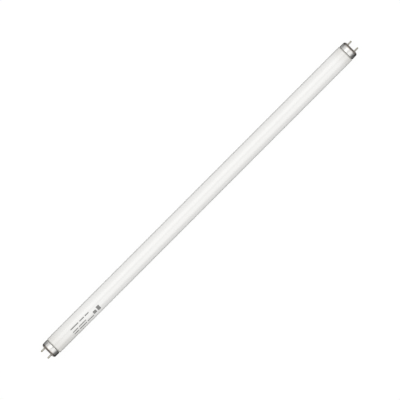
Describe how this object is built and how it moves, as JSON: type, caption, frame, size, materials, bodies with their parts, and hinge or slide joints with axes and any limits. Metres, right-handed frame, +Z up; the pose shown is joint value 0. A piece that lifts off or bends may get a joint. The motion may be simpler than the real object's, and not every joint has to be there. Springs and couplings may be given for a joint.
{
  "type": "fluorescent tube",
  "caption": "Straight white discharge lamp tube with a drawn metal cap and contact pins at each end, for a ceiling light fitting.",
  "frame": {"origin": "middle of the lamp, on its axis", "axes": "+X along the lamp's axis towards the right-hand cap, Y across both pins of a cap, +Z up"},
  "size_m": [0.604, 0.026, 0.026],
  "materials": {
    "coated_glass": "clear glass over a white coat on its inside, gloss",
    "cap_metal": "drawn, bright",
    "insulator": "moulded phenolic, satin",
    "cement": "baked resin cement",
    "pin_metal": "dull nickel plate",
    "lead_wire": "drawn wire"
  },
  "bodies": {
    "root": {"glass_tube": "coated_glass", "left_end_cap": "cap_metal", "right_end_cap": "cap_metal", "left_insulator": "insulator", "right_insulator": "insulator", "left_cement_ring": "cement", "right_cement_ring": "cement", "left_pin_front": "pin_metal", "left_pin_back": "pin_metal", "right_pin_front": "pin_metal", "right_pin_back": "pin_metal", "left_lead_wire_front": "lead_wire", "left_lead_wire_back": "lead_wire", "right_lead_wire_front": "lead_wire", "right_lead_wire_back": "lead_wire"}
  },
  "joints": []
}
